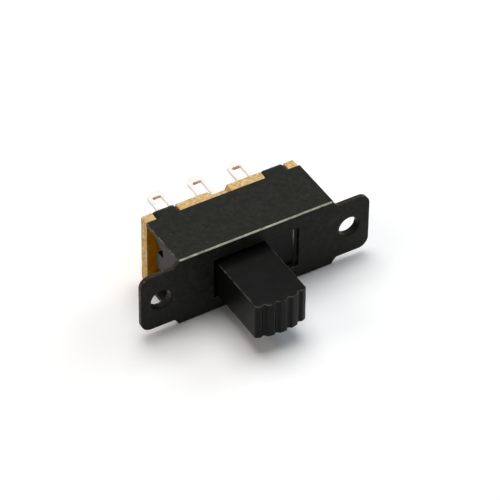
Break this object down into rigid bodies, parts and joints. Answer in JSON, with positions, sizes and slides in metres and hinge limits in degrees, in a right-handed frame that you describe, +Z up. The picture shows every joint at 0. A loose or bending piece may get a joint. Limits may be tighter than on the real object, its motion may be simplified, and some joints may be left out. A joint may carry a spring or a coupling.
{
  "type": "slide switch",
  "caption": "Panel slide switch: folded steel frame with mounting ears, phenolic terminal board, solder lugs and a ribbed slider knob.",
  "frame": {"origin": "midway between the two mounting holes, on the plate's front face", "axes": "+X along the plate from ear to ear, +Y from the plate back to the solder lugs, +Z up from the lower flange to the upper"},
  "size_m": [0.034, 0.0271, 0.011],
  "materials": {
    "blackened_steel": "black phosphate, satin, worn at the folds",
    "phenolic": "phenolic paper sheet, punched edges pale",
    "black_moulding": "satin moulded",
    "spring_bronze": "bright rolled strip",
    "tinned_brass": "bright tin plate"
  },
  "bodies": {
    "frame": {"steel_frame": "blackened_steel", "terminal_board": "phenolic", "terminal_upper_left": "tinned_brass", "terminal_upper_middle": "tinned_brass", "terminal_upper_right": "tinned_brass", "terminal_lower_left": "tinned_brass", "terminal_lower_middle": "tinned_brass", "terminal_lower_right": "tinned_brass"},
    "slider": {"slider": "black_moulding", "clip_upper": "spring_bronze", "clip_lower": "spring_bronze"}
  },
  "joints": [
    {"name": "slider_travel", "type": "slide", "parent": "frame", "child": "slider", "axis": [1, 0, 0], "range_m": [0, 0.0044]}
  ]
}
